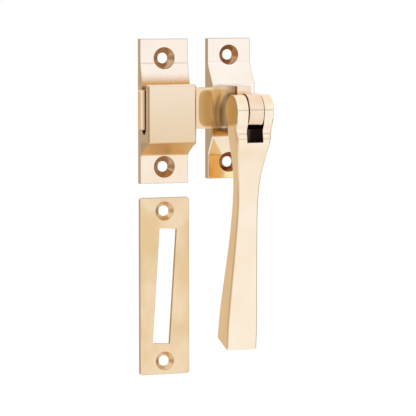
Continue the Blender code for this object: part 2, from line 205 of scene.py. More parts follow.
def eased(before, corner, after, cut, steps=6):
    """A corner of an outline rounded off by a parabola that starts and ends a cut away."""
    corner = Vector(corner)
    start = corner + (Vector(before) - corner).normalized() * cut
    end = corner + (Vector(after) - corner).normalized() * cut
    points = []
    for i in range(steps + 1):
        t = i / steps
        points.append(tuple(start * (1 - t) ** 2 + corner * 2 * t * (1 - t) + end * t ** 2))
    return points


def prism(name, points, start, end, place):
    """A prism: place(u, v, w) gives the world point of outline point (u, v) at height w."""
    bm = bmesh.new()
    first = [bm.verts.new(place(u, v, start)) for u, v in points]
    last = [bm.verts.new(place(u, v, end)) for u, v in points]
    bm.faces.new(first)
    bm.faces.new(last)
    count = len(points)
    for i in range(count):
        j = (i + 1) % count
        bm.faces.new((first[i], first[j], last[j], last[i]))
    return mesh_object(name, bm)


def side_view(depth, z, x):
    return Vector((x, -depth, z))


def front_view(x, z, depth):
    return Vector((x, -depth, z))


def plan_view(x, depth, z):
    return Vector((x, -depth, z))


def turned(name, profile, axis, origin, steps=FINE_CIRCLE):
    """A solid of revolution: profile holds (radius, distance along the axis) pairs."""
    bm = bmesh.new()
    rings = []
    for radius, along in profile:
        count = steps if radius > 0 else 1
        ring = []
        for i in range(count):
            angle = 2 * math.pi * i / steps
            ring.append(bm.verts.new((radius * math.cos(angle), radius * math.sin(angle), along)))
        rings.append(ring)
    for low, high in zip(rings, rings[1:]):
        for i in range(steps):
            j = (i + 1) % steps
            corners = [low[i % len(low)], low[j % len(low)], high[j % len(high)], high[i % len(high)]]
            bm.faces.new(list(dict.fromkeys(corners)))
    bmesh.ops.transform(bm, matrix=Matrix.Translation(origin) @ axis, verts=bm.verts)
    return mesh_object(name, bm)


def screw_space(x, z, back, front, sink_radius):
    """A countersunk hole, with a small chamfer where it leaves the back."""
    chamfer = 0.25 * MM
    beyond = 1.0 * MM
    depth = sink_radius - HOLE_RADIUS
    profile = [
        (0, back - beyond),
        (HOLE_RADIUS + chamfer, back - beyond),
        (HOLE_RADIUS + chamfer, back),
        (HOLE_RADIUS, back + chamfer),
        (HOLE_RADIUS, front - depth),
        (sink_radius, front),
        (sink_radius, front + 2 * beyond),
        (0, front + 2 * beyond),
    ]
    return turned("screw_space", profile, ALONG_Y, (x, 0, z))


def pin_bore(start, end):
    """The space of the hinge pin between two places along X."""
    profile = [(0, start), (PIN_BORE, start), (PIN_BORE, end), (0, end)]
    return turned("pin_bore", profile, ALONG_X, (0, -PIN_DEPTH, 0))


# ---------------------------------------------------------------- castings

def build_base_plate():
    low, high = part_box("base_plate")
    half_z = (high.z - low.z) / 2
    boss = -low.y
    half_x = (high.x - low.x) / 2
    steps = 20
    ramp = []
    for i in range(steps + 1):
        t = i / steps
        depth = END_THICKNESS + (boss - END_THICKNESS) * t ** RAMP_POWER
        ramp.append((depth, RAMP_FOOT - (RAMP_FOOT - BOSS_HALF) * t))
    upper = [(0, half_z), (END_THICKNESS, half_z), *ramp]
    outline = upper + [(depth, -z) for depth, z in reversed(upper)]
    plate = prism("base_plate_casting", outline, -half_x, half_x, side_view)
    soften(plate, 0.55 * MM, segments=4, angle=20)
    for side in (-1, 1):
        z = side * (half_z - HOLE_INSET)
        combine(plate, screw_space(0, z, 0, END_THICKNESS, BASE_SINK_RADIUS), "DIFFERENCE")
    beyond = 1.0 * MM
    pocket = (
        (0, -beyond),
        (POCKET_RADIUS, -beyond),
        (POCKET_RADIUS, POCKET_DEPTH),
        (RIVET_BORE, POCKET_DEPTH),
        (RIVET_BORE, boss + beyond),
        (0, boss + beyond),
    )
    combine(plate, turned("pocket", pocket, ALONG_Y, (0, 0, 0)), "DIFFERENCE")
    shade(plate)
    return plate


def hook_outline(half_z, front):
    slot_radius = (HOOK_BRIDGE_BACK - HOOK_FLOOR) / 2
    rise = front - END_THICKNESS
    drop = HOOK_BRIDGE_BOTTOM - HOOK_WEB_FOOT
    steps = 24
    crowding = 1.6              # brings the web's points closer together towards its foot
    web = []
    for i in range(1, steps):
        share = (1 - i / steps) ** crowding
        web.append((END_THICKNESS + rise * share, HOOK_WEB_FOOT + drop * share ** HOOK_WEB_POWER))
    ramp_start = (END_THICKNESS, HOOK_RAMP_TOP)
    ramp_end = (HOOK_FLOOR, HOOK_BRIDGE_TOP)
    return [
        (0, half_z),
        (END_THICKNESS, half_z),
        *eased((END_THICKNESS, half_z), ramp_start, ramp_end, 0.9 * MM),
        *eased(ramp_start, ramp_end, (HOOK_FLOOR, HOOK_SLOT_Z), 0.5 * MM),
        *arc(HOOK_FLOOR + slot_radius, HOOK_SLOT_Z, slot_radius, 180, 360, 24),
        *arc(HOOK_BRIDGE_BACK + HOOK_LIP_RADIUS, HOOK_BRIDGE_TOP - HOOK_LIP_RADIUS,
             HOOK_LIP_RADIUS, 180, 90, 8),
        (front, HOOK_BRIDGE_TOP),
        (front, HOOK_BRIDGE_BOTTOM),
        *web,
        (END_THICKNESS, HOOK_WEB_FOOT),
        (END_THICKNESS, -half_z),
        (0, -half_z),
    ]


def round_block(hook, front):
    """Round the edges of the hook's front face, and its top edges at the two sides."""
    bm = bmesh.new()
    bm.from_mesh(hook.data)
    near = 0.1 * MM
    top = max(vertex.co.z for vertex in bm.verts if abs(vertex.co.y + front) < near)
    edges = []
    for edge in bm.edges:
        ends = [vertex.co for vertex in edge.verts]
        at_front = all(abs(end.y + front) < near for end in ends)
        along_top = all(abs(end.z - top) < near and end.y < -HOOK_BRIDGE_BACK for end in ends)
        runs_back = abs(ends[0].x - ends[1].x) < near
        if at_front or (along_top and runs_back):
            edges.append(edge)
    bmesh.ops.bevel(bm, geom=edges, offset=0.9 * MM, segments=6, profile=0.5, affect="EDGES")
    bm.to_mesh(hook.data)
    bm.free()


def build_hook_plate():
    low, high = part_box("hook_plate")
    centre = (low + high) / 2
    half_x = (high.x - low.x) / 2
    half_z = (high.z - low.z) / 2
    back = -high.y

    def place(depth, z, x):
        return Vector((centre.x + x, -(back + depth), centre.z + z))

    outline = hook_outline(half_z, high.y - low.y)
    hook = prism("hook_plate_casting", outline, -half_x, half_x, place)
    round_block(hook, -low.y)
    soften(hook, 0.5 * MM, segments=4, angle=40)
    for z in (high.z - HOOK_HOLE_TOP, low.z + HOOK_HOLE_BOTTOM):
        space = screw_space(centre.x, z, back, back + END_THICKNESS, SINK_RADIUS)
        combine(hook, space, "DIFFERENCE")
    shade(hook)
    return hook


def build_mortice_plate():
    low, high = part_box("mortice_plate")
    centre = (low + high) / 2
    half_x = (high.x - low.x) / 2
    half_z = (high.z - low.z) / 2
    back, front = -high.y, -low.y
    corner = 1.0 * MM
    outline = [
        *arc(half_x - corner, half_z - corner, corner, 0, 90, 8),
        *arc(corner - half_x, half_z - corner, corner, 90, 180, 8),
        *arc(corner - half_x, corner - half_z, corner, 180, 270, 8),
        *arc(half_x - corner, corner - half_z, corner, 270, 360, 8),
    ]

    def place(x, z, depth):
        return Vector((centre.x + x, -depth, centre.z + z))

    plate = prism("mortice_plate_sheet", outline, back, front, place)
    end = SLOT_LENGTH / 2
    side = SLOT_WIDTH / 2
    beyond = 1.0 * MM
    turn = Matrix.Rotation(SLOT_TILT, 4, "Y")

    def place_slot(x, z, depth):
        return Vector((centre.x, 0, centre.z)) + turn @ Vector((x, -depth, z))

    slot_outline = [(side, end), (-side, end), (-side, -end), (side, -end)]
    slot = prism("slot_space", slot_outline, back - beyond, front + beyond, place_slot)
    combine(plate, slot, "DIFFERENCE")
    soften(plate, 0.28 * MM, segments=3, angle=40)
    for side_sign in (-1, 1):
        z = centre.z + side_sign * (half_z - MORTICE_HOLE_INSET)
        combine(plate, screw_space(centre.x, z, back, front, MORTICE_SINK_RADIUS), "DIFFERENCE")
    shade(plate)
    return plate


def build_nose_arm():
    low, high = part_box("nose_arm")
    back = -high.y
    tip = -low.y
    reach = -low.x
    corner = 1.0 * MM
    beyond = 2.0 * MM
    flare_start = LUG_LEFT - 1.5 * LUG_FILLET
    flare_end = LUG_LEFT - 0.5 * LUG_FILLET
    end_turn = 62               # degrees of the arm's round end, up and down from +X
    eye_turn = 150              # degrees of the lug's eye, up and down from its front
    front = [
        *arc(0, 0, ARM_END_RADIUS, -end_turn, end_turn, 40),
        (LUG_RIGHT, LUG_TOP),
        (flare_end, LUG_TOP),
        (flare_start, ARM_TOP),
        *arc(-reach + corner, ARM_TIP_TOP - corner, corner, 90, 180, 6),
        *arc(-reach + corner, ARM_BOTTOM + corner, corner, 180, 270, 6),
        (flare_start, ARM_BOTTOM),
        (flare_end, LUG_BOTTOM),
        (LUG_RIGHT, LUG_BOTTOM),
    ]
    arm = prism("nose_arm_casting", front, back, tip + beyond, front_view)
    fillet_depth = ARM_FRONT + LUG_FILLET
    plan = [
        (-reach - beyond, back - beyond),
        (ARM_END_RADIUS + beyond, back - beyond),
        (ARM_END_RADIUS + beyond, ARM_FRONT),
        *arc(LUG_RIGHT + LUG_FILLET, fillet_depth, LUG_FILLET, 270, 180, 20),
        (LUG_RIGHT, tip + 2 * beyond),
        (LUG_LEFT, tip + 2 * beyond),
        *arc(LUG_LEFT - LUG_FILLET, fillet_depth, LUG_FILLET, 0, -90, 20),
        (ARM_TAPER_START, ARM_FRONT),
        (-reach, ARM_TIP_FRONT),
        (-reach - beyond, ARM_TIP_FRONT),
    ]
    combine(arm, prism("arm_plan", plan, 2 * LUG_BOTTOM, 2 * LUG_TOP, plan_view), "INTERSECT")
    half = LUG_TOP + beyond
    chamfer = 0.4 * MM
    side = [
        (back - beyond, -half),
        (LUG_SHOULDER - chamfer - beyond, -half),
        (LUG_SHOULDER - chamfer, LUG_BOTTOM),
        (LUG_SHOULDER, LUG_BOTTOM + chamfer),
        (LUG_SHOULDER, -LUG_NOTCH),
        *arc(PIN_DEPTH, 0, LUG_RADIUS, -eye_turn, eye_turn, 76),
        (LUG_SHOULDER, LUG_NOTCH),
        (LUG_SHOULDER, LUG_TOP - chamfer),
        (LUG_SHOULDER - chamfer, LUG_TOP),
        (LUG_SHOULDER - chamfer - beyond, half),
        (back - beyond, half),
    ]
    side_prism = prism("arm_side", side, -reach - 2 * beyond, 2 * ARM_END_RADIUS, side_view)
    combine(arm, side_prism, "INTERSECT")
    soften(arm, 0.35 * MM, segments=3, angle=35)
    combine(arm, pin_bore(2 * LUG_LEFT, 2 * LUG_RIGHT), "DIFFERENCE")
    shade(arm)
    return arm


def handle_station(drop):
    """Half width, front and back at a drop, by a Catmull-Rom curve through the stations."""
    stations = HANDLE_STATIONS
    index = max(k for k in range(len(stations) - 1) if drop >= stations[k][0])
    before = stations[max(index - 1, 0)]
    start, end = stations[index], stations[index + 1]
    after = stations[min(index + 2, len(stations) - 1)]
    span = end[0] - start[0]
    t = (drop - start[0]) / span
    values = []
    for k in (1, 2, 3):
        slope_in = (end[k] - before[k]) / (end[0] - before[0]) * span
        slope_out = (after[k] - start[k]) / (after[0] - start[0]) * span
        values.append(
            (2 * t ** 3 - 3 * t ** 2 + 1) * start[k] + (t ** 3 - 2 * t ** 2 + t) * slope_in
            + (3 * t ** 2 - 2 * t ** 3) * end[k] + (t ** 3 - t ** 2) * slope_out
        )
    return values


def handle_section(half, front, back, corner, steps=6):
    """A rounded rectangle as (x, forwards) points, counter-clockwise from above."""
    points = []
    for centre_x, centre_y, start in (
        (half - corner, front - corner, 0),
        (corner - half, front - corner, 90),
        (corner - half, back + corner, 180),
        (half - corner, back + corner, 270),
    ):
        points += arc(centre_x, centre_y, corner, start, start + 90, steps)
    return points


def build_handle_blade():
    top = HANDLE_STATIONS[0][0]
    length = HANDLE_STATIONS[-1][0]
    steps = 120
    roll_steps = 3
    tip_roll = 0.5
    corner = 0.8
    bm = bmesh.new()
    rings = []
    for i in range(steps + roll_steps + 1):
        if i <= steps:
            drop = top + (length - tip_roll - top) * i / steps
            shrink = 0
        else:
            turn = math.radians(90 * (i - steps) / roll_steps)
            drop = length - tip_roll * (1 - math.sin(turn))
            shrink = tip_roll * (1 - math.cos(turn))
        half, front, back = handle_station(drop)
        slant = TIP_SLANT * (drop / length) ** 2
        ring = []
        for x, forwards in handle_section(half - shrink, front - shrink, back + shrink, corner):
            share = (front - forwards) / (front - back)
            z = -drop * MM + slant * share
            ring.append(bm.verts.new((x * MM, -PIN_DEPTH - forwards * MM, z)))
        rings.append(ring)
    count = len(rings[0])
    for low, high in zip(rings, rings[1:]):
        for i in range(count):
            j = (i + 1) % count
            bm.faces.new((low[i], low[j], high[j], high[i]))
    bm.faces.new(rings[0])
    bm.faces.new(rings[-1])
    return mesh_object("handle_casting", bm)


def build_handle():
    handle = build_handle_blade()
    rim = 0.35 * MM
    edge = []
    steps = 4
    for i in range(steps + 1):
        turn = math.radians(90 * i / steps)
        radius = KNUCKLE_RADIUS - rim + rim * math.sin(turn)
        along = KNUCKLE_HALF - rim + rim * math.cos(turn)
        edge.append((radius, along))
    profile = [(0, -KNUCKLE_HALF)]
    profile += [(radius, -along) for radius, along in edge]
    profile += [(radius, along) for radius, along in reversed(edge)]
    profile += [(0, KNUCKLE_HALF)]
    pin = (0, -PIN_DEPTH, 0)
    combine(handle, turned("knuckle", profile, ALONG_X, pin), "UNION")
    reach = 12.0 * MM
    fork = [
        (FORK_WEB_DEPTH, -FORK_BOTTOM),
        (PIN_DEPTH + reach, -FORK_BOTTOM),
        (PIN_DEPTH + reach, reach),
        (PIN_DEPTH - reach, reach),
        (PIN_DEPTH - reach, -FORK_WEB_TOP),
        (FORK_WEB_DEPTH, -FORK_WEB_TOP),
    ]
    fork_space = prism("fork", fork, LUG_LEFT - FORK_GAP, LUG_RIGHT + FORK_GAP, side_view)
    combine(handle, fork_space, "DIFFERENCE")
    combine(handle, pin_bore(PIN_BLIND - KNUCKLE_HALF, 2 * KNUCKLE_HALF), "DIFFERENCE")
    shade(handle, angle=28)
    return handle


# ---------------------------------------------------------------- node trees

class Nodes:
    """Short forms for building a node tree.  A share is a value or an output from 0 to 1."""

    def __init__(self, tree, shader):
        self.tree = tree
        self.shader = tree.nodes[shader]

    def add(self, kind, **values):
        node = self.tree.nodes.new(kind)
        for key, value in values.items():
            setattr(node, key, value)
        return node

    def link(self, source, target):
        self.tree.links.new(source, target)

    def spread(self, value, low, high, to_low, to_high):
        """The stretch from low to high mapped to another stretch, and held beyond its ends."""
        ramp = self.add("ShaderNodeMapRange")
        ramp.inputs["From Min"].default_value = low
        ramp.inputs["From Max"].default_value = high
        ramp.inputs["To Min"].default_value = to_low
        ramp.inputs["To Max"].default_value = to_high
        self.link(value, ramp.inputs["Value"])
        return ramp.outputs["Result"]

    def rise(self, value, start, end, top=1.0):
        """0 up to the start, and growing to the top at the end."""
        return self.spread(value, start, end, 0.0, top)

    def fall(self, value, start, end, top=1.0):
        """The top up to the start, and falling to 0 at the end."""
        return self.spread(value, start, end, top, 0.0)

    def band(self, value, growing, fading, top=1.0):
        """A rise and then a fall, each over its own (start, end)."""
        return self.product(self.rise(value, *growing, top), self.fall(value, *fading))

    def math(self, operation, *values):
        node = self.add("ShaderNodeMath", operation=operation)
        for socket, value in zip(node.inputs, values):
            if isinstance(value, (int, float)):
                socket.default_value = value
            else:
                self.link(value, socket)
        return node.outputs["Value"]

    def product(self, first, *others):
        result = first
        for other in others:
            result = self.math("MULTIPLY", result, other)
        return result

    def square(self, value):
        return self.math("MULTIPLY", value, value)

    def mix(self, share, first, second):
        node = self.add("ShaderNodeMix", data_type="RGBA")
        sockets = (node.inputs[0], node.inputs[6], node.inputs[7])
        for socket, value in zip(sockets, (share, first, second)):
            if isinstance(value, tuple):
                socket.default_value = (*value, 1.0)
            else:
                self.link(value, socket)
        return node.outputs[2]


class MaterialNodes(Nodes):
    """The same short forms for a material, with places on its object."""

    def __init__(self, name):
        self.material = bpy.data.materials.new(name)
        self.material.use_nodes = True
        super().__init__(self.material.node_tree, "Principled BSDF")

    def position(self, scale):
        """Object coordinates in millimetres, times a scale for each axis."""
        coordinates = self.add("ShaderNodeTexCoord")
        mapping = self.add("ShaderNodeMapping")
        mapping.inputs["Scale"].default_value = [value / MM for value in scale]
        self.link(coordinates.outputs["Object"], mapping.inputs["Vector"])
        return mapping.outputs["Vector"]

    def axes(self):
        """The place on the object along X, Y and Z, in millimetres."""
        split = self.add("ShaderNodeSeparateXYZ")
        self.link(self.position((1.0, 1.0, 1.0)), split.inputs[0])
        return split.outputs[0], split.outputs[1], split.outputs[2]

    def noise(self, scale, detail, roughness):
        noise = self.add("ShaderNodeTexNoise")
        noise.inputs["Scale"].default_value = 1.0
        noise.inputs["Detail"].default_value = detail
        noise.inputs["Roughness"].default_value = roughness
        self.link(self.position(scale), noise.inputs["Vector"])
        return noise.outputs["Fac"]

    def disc(self, x, z, radius):
        """1 inside a circle around the line at x and z along Y, and 0 outside it."""
        coordinates = self.add("ShaderNodeTexCoord")
        flat = self.add("ShaderNodeVectorMath", operation="MULTIPLY")
        flat.inputs[1].default_value = (1.0, 0.0, 1.0)
        away = self.add("ShaderNodeVectorMath", operation="DISTANCE")
        away.inputs[1].default_value = (x, 0.0, z)
        self.link(coordinates.outputs["Object"], flat.inputs[0])
        self.link(flat.outputs["Vector"], away.inputs[0])
        return self.fall(away.outputs["Value"], radius - 0.15 * MM, radius + 0.1 * MM)

    def bump(self, height, strength, distance, before=None):
        node = self.add("ShaderNodeBump")
        node.inputs["Strength"].default_value = strength
        node.inputs["Distance"].default_value = distance
        self.link(height, node.inputs["Height"])
        if before:
            self.link(before, node.inputs["Normal"])
        return node.outputs["Normal"]


# ---------------------------------------------------------------- brass

# Tarnish in hollows, also used as painted shade
PATINA_AND_SHADE = (0.16, 0.08, 0.03)
POCKET_SHADE = (0.060, 0.034, 0.022)
SINK_PATINA_AND_SHADE = (0.43, 0.21, 0.08)
SIDE_SHADE = (0.55, 0.44, 0.33)
ARM_REFLECTION_BROWN = (0.50, 0.29, 0.09)
ARM_REFLECTION_GOLD = (0.86, 0.55, 0.23)
FLARE_SHADE = (0.20, 0.09, 0.012)
BOSS_REFLECTION_GOLD = (0.70, 0.38, 0.06)
FILLET_SHADE = (0.20, 0.12, 0.045)
RAMP_FOOT_SHADE = (0.60, 0.30, 0.08)
RAMP_REFLECTION_GOLD = (0.80, 0.49, 0.19)
WEB_REFLECTION_GOLD = (0.88, 0.54, 0.19)
BASE_REFLECTION_ORANGE = (1.0, 0.72, 0.34)
BRIDGE_SHADE_TAN = (0.776, 0.563, 0.325)
HOOK_HIGHLIGHT = (0.96, 0.83, 0.67)
BASE_HIGHLIGHT = (0.94, 0.79, 0.60)

# Polishing lines: the scale of their noise along X, Y and Z
ALONG_Z_GRAIN = (6.0, 6.0, 0.12)
ALONG_X_GRAIN = (0.12, 6.0, 6.0)


class Brass(MaterialNodes):
    """Polished brass, clouded from light to deep, with tarnish and painted shade in its corners.

    The darkening gathers where another surface of the casting is nearer than the crevice distance.
    """

    def __init__(self, name, light, deep, grain, gloss=0.14, crevice=4.0 * MM):
        super().__init__(name)
        lines = self.noise(grain, 4.0, 0.6)
        clouds = self.noise((0.09, 0.09, 0.06), 2.0, 0.5)
        grains = self.noise((3.0, 3.0, 3.0), 2.0, 0.5)
        self.colour = self.mix(self.rise(clouds, 0.38, 0.62), light, deep)
        self.dullness = self.spread(lines, 0.3, 0.7, gloss - 0.03, gloss + 0.06)
        closed = self.add("ShaderNodeAmbientOcclusion", samples=8, only_local=True)
        closed.inputs["Distance"].default_value = crevice
        # Tarnish and painted shade: darker where the casting's own surfaces close in.
        self.paint_patina_or_light(self.fall(closed.outputs["AO"], 0.15, 0.62, 0.97), PATINA_AND_SHADE)
        waves = self.bump(clouds, 0.35, 0.2 * MM)
        scratches = self.bump(lines, 0.10, 0.01 * MM, waves)
        self.link(self.bump(grains, 0.06, 0.01 * MM, scratches), self.shader.inputs["Normal"])
        self.shader.inputs["Metallic"].default_value = 1.0

    def paint_patina_or_light(self, share, colour):
        """Mix a colour over the base colour so far: tarnish, painted light or painted shade."""
        self.colour = self.mix(share, self.colour, colour)

    def dull(self, amount):
        """Add to the roughness so far."""
        self.dullness = self.math("ADD", self.dullness, amount)

    def ahead(self, node, share):
        """A share kept only in front of a node's back face."""
        y = self.axes()[1]
        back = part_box(node)[1].y / MM
        return self.product(share, self.fall(y, back - 0.6, back - 0.4))

    def finish(self):
        self.link(self.colour, self.shader.inputs["Base Color"])
        self.link(self.dullness, self.shader.inputs["Roughness"])
        return self.material


# ---------------------------------------------------------------- stains, and painted light and shade

# Places given as plain numbers are millimetres on the object.  A pair is the (start, end) of a
# soft edge.

SIDE_RIM = 0.3                      # how far a plate's side, with its painted shade, reaches in from its outline
SINK_OVERLAP = 0.05 * MM            # added to a countersink's radius for its tarnish and painted shade
LUG_LEFT_SIDE = (-2.6, -2.4)
ARM_LOWER_EDGE = (-6.8, -6.2)
ARM_UPPER_EDGE = (7.6, 8.4)
ARM_FLAT = (-12.4, -11.8)
PATCH_MIDDLE = 0.8
PATCH_HALF_HEIGHT = 7.4
STREAK_MIDDLE = -2.0
STREAK_HALF_HEIGHT = 8.0
STREAK_BOW = 1.8
STREAK_EDGE = (-5.9, -5.1)
EAR_RIM = (5.9, 6.4)                # distance from the pin's axis
EAR_FACE = (-7.6, -7.2)
FORK_FLOOR = (-22.5, -21.9)
BRIDGE_FRONT = (-15.5, -14.5)
HOOK_RAMP_FRONT = (-10.2, -9.2)
WEB_FRONT = (-6.7, -6.4)
BASE_LEFT_EDGE = (-8.4, -8.0)
BASE_RAMP_FOOT = (-18.9, -18.4)
FACET_SLOPE = 1.3


def shade_and_patina_holes(brass, node, insets, sink_radius, amount):
    """Tarnish and painted shade inside the two countersinks of a plate, at their insets from its top
    and bottom.
    """
    low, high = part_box(node)
    x = (low.x + high.x) / 2
    radius = sink_radius + SINK_OVERLAP
    for z in (high.z - insets[0], low.z + insets[1]):
        sink = brass.product(brass.disc(x, z, radius), amount)
        # Painted shade and tarnish in the countersink.
        brass.paint_patina_or_light(brass.ahead(node, sink), SINK_PATINA_AND_SHADE)
        outer = brass.disc(x, z, radius + 0.1 * MM)
        inner = brass.disc(x, z, radius - 0.25 * MM)
        # A dark rim of painted shade and tarnish.
        rim = brass.product(brass.math("SUBTRACT", outer, inner), 0.6 * amount)
        brass.paint_patina_or_light(brass.ahead(node, rim), PATINA_AND_SHADE)


def shade_sides(brass, node, amount):
    """Painted shade on a plate's sides, from a rim around its front: they are browner than its
    polished face.
    """
    low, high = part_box(node)
    x, _, z = brass.axes()
    sides = 0.0
    for place, start, inwards in ((x, low.x, 1), (x, high.x, -1), (z, low.z, 1), (z, high.z, -1)):
        line = start / MM + inwards * SIDE_RIM
        side = brass.rise(place, line, line - inwards * 0.2, amount)
        sides = brass.math("MAXIMUM", side, sides)
    # Painted shade on the sides.
    brass.paint_patina_or_light(sides, SIDE_SHADE)


def paint_arm_reflection(brass):
    """A painted reflection on the arm's flat: a browned patch with round corners, in a golden border.
    """
    x, y, z = brass.axes()
    across = brass.spread(x, -18.95, -11.0, 1.5, 0.0)
    up = brass.product(brass.math("ADD", z, -PATCH_MIDDLE), 1 / PATCH_HALF_HEIGHT)
    outwards = brass.math("ADD", brass.square(brass.square(across)), brass.square(brass.square(up)))
    border = brass.band(x, (-22.0, -18.0), (-9.0, -7.0), 0.5)
    # Painted reflection: the golden border.
    brass.paint_patina_or_light(brass.product(border, brass.fall(y, *ARM_FLAT)), ARM_REFLECTION_GOLD)
    patch = brass.product(brass.fall(outwards, 0.75, 1.15), brass.fall(x, -7.0, -3.0))
    tall = brass.band(z, ARM_LOWER_EDGE, ARM_UPPER_EDGE)
    # Painted reflection: the brown patch.
    brass.paint_patina_or_light(brass.product(patch, tall, 0.9), ARM_REFLECTION_BROWN)


def paint_streak_reflections(brass):
    """Painted reflections in bowed streaks where the arm runs into the lug.

    One is golden, with a thin dark stripe in it and a dark crescent beside it.
    """
    x, _, z = brass.axes()
    height = brass.product(brass.math("ADD", z, -STREAK_MIDDLE), 1 / STREAK_HALF_HEIGHT)
    bulge = brass.product(brass.square(height), -STREAK_BOW)
    bowed = brass.math("ADD", brass.math("ADD", x, STREAK_BOW), bulge)
    golden = brass.product(brass.rise(x, -11.5, -9.8, 0.85), brass.fall(bowed, *STREAK_EDGE))
    tall = brass.band(z, ARM_LOWER_EDGE, ARM_UPPER_EDGE)
    # Painted reflection: the golden streak.
    brass.paint_patina_or_light(brass.product(golden, tall), ARM_REFLECTION_GOLD)
    crescent = brass.band(bowed, STREAK_EDGE, (-4.2, -2.6), 0.5)
    stripe = brass.band(bowed, (-8.2, -7.6), (-7.2, -6.6), 0.4)
    lower = brass.band(z, ARM_LOWER_EDGE, (5.0, 7.0))
    # Painted shade: the dark stripe and crescent.
    brass.paint_patina_or_light(brass.product(brass.math("ADD", crescent, stripe), lower), FILLET_SHADE)


def shade_lug(brass):
    """Painted shade on the lug: it is dark underneath, under its flare, in its fillet and along its
    left edge.
    """
    x, y, z = brass.axes()
    # Painted shade under the lug, under its flare, in its fillet and along its left edge.
    under = brass.product(brass.fall(z, -6.4, -5.2), brass.fall(y, -19.5, -18.5), 0.95)
    brass.paint_patina_or_light(under, PATINA_AND_SHADE)
    flare = brass.band(x, (-10.5, -9.5), LUG_LEFT_SIDE, 0.9)
    brass.paint_patina_or_light(brass.product(flare, brass.fall(z, -7.5, -6.9)), FLARE_SHADE)
    fillet = brass.product(brass.fall(y, -14.2, -13.5), brass.fall(x, *LUG_LEFT_SIDE))
    brass.paint_patina_or_light(brass.product(fillet, brass.fall(z, 5.8, 7.4, 0.8)), FILLET_SHADE)
    edge = brass.product(brass.fall(y, -17.6, -17.0, 0.8), brass.fall(x, -2.35, -2.15))
    brass.paint_patina_or_light(brass.product(edge, brass.rise(z, 4.0, 5.0)), FILLET_SHADE)
    brass.dull(brass.band(x, (-11.0, -9.0), LUG_LEFT_SIDE, 0.3))


def shade_fork(brass):
    """Painted shade: the handle's slot and its pocket are dark inside, and a dark ring runs round its
    left ear.
    """
    x, y, z = brass.axes()
    depth = brass.math("ADD", y, PIN_DEPTH / MM)
    away = brass.math("SQRT", brass.math("ADD", brass.square(depth), brass.square(z)))
    ring = brass.product(brass.rise(away, *EAR_RIM, 0.6), brass.fall(x, *EAR_FACE))
    # Painted shade: a dark ring round the left ear.
    brass.paint_patina_or_light(brass.product(ring, brass.rise(z, -5.0, -4.0)), PATINA_AND_SHADE)
    wide = brass.band(x, (-3.0, -2.9), (3.7, 3.8))
    deep = brass.product(brass.rise(z, -12.1, -11.9), brass.fall(y, *FORK_FLOOR))
    # Painted shade in the slot and its pocket.
    brass.paint_patina_or_light(brass.product(wide, deep, 0.98), POCKET_SHADE)


def paint_hook_light(brass):
    """Painted light and shade: the bridge darkens downwards, the ramp has a painted highlight and
    browns with painted shade at its foot, and the web is a golden painted reflection.
    """
    _, y, z = brass.axes()
    # Painted shade: the bridge darker downwards.
    bridge = brass.product(brass.spread(z, -12.0, 9.0, 0.95, 0.4), brass.fall(y, *BRIDGE_FRONT))
    brass.paint_patina_or_light(bridge, BRIDGE_SHADE_TAN)
    # Painted highlight on the upper ramp.
    upper = brass.product(brass.rise(z, 10.5, 12.5, 0.5), brass.rise(y, *HOOK_RAMP_FRONT))
    brass.paint_patina_or_light(brass.ahead("hook_plate", upper), HOOK_HIGHLIGHT)
    # Painted shade at the ramp's foot, with a speckled edge.
    speckle = brass.spread(brass.noise((1.6, 1.6, 1.6), 5.0, 0.7), 0.35, 0.65, -0.45, 0.45)
    nearness = brass.fall(brass.math("ADD", z, speckle), 11.0, 15.6)
    foot = brass.product(brass.square(nearness), brass.rise(y, *HOOK_RAMP_FRONT))
    foot = brass.product(foot, brass.rise(z, 9.5, 10.4, 0.9))
    brass.paint_patina_or_light(brass.ahead("hook_plate", foot), RAMP_FOOT_SHADE)
    # Painted reflection: the golden web.
    web = brass.band(z, (-18.2, -17.4), (-12.6, -12.2), 0.95)
    web = brass.product(web, brass.fall(y, *WEB_FRONT))
    brass.paint_patina_or_light(web, WEB_REFLECTION_GOLD)
    brass.dull(brass.product(web, 0.4))


def paint_base_light(brass):
    """Painted reflections: warm at the lower end, golden on the lower ramp and under the arm; a
    painted highlight makes the upper end pale.
    """
    x, _, z = brass.axes()
    # Painted reflections on the lower end and lower ramp.
    inside = brass.ahead("base_plate", brass.rise(x, *BASE_LEFT_EDGE))
    ramp = brass.product(brass.fall(z, -11.6, -11.0), inside)
    brass.paint_patina_or_light(brass.product(ramp, 0.35), BASE_REFLECTION_ORANGE)
    slanted = brass.math("ADD", z, brass.product(x, FACET_SLOPE))
    facet = brass.product(brass.fall(slanted, -22.4, -21.6, 0.9), brass.rise(z, *BASE_RAMP_FOOT))
    brass.paint_patina_or_light(brass.product(facet, ramp), RAMP_REFLECTION_GOLD)
    low_end = brass.product(brass.fall(z, *BASE_RAMP_FOOT, 0.9), inside)
    brass.paint_patina_or_light(low_end, BASE_REFLECTION_ORANGE)
    # Painted reflection under the arm.
    under_arm = brass.product(brass.band(z, (-11.2, -10.6), (-7.0, -6.0)), 0.8)
    brass.paint_patina_or_light(brass.ahead("base_plate", under_arm), BOSS_REFLECTION_GOLD)
    # Painted highlight at the upper end.
    top_end = brass.rise(z, 18.0, 18.8, 0.75)
    brass.paint_patina_or_light(brass.ahead("base_plate", top_end), BASE_HIGHLIGHT)


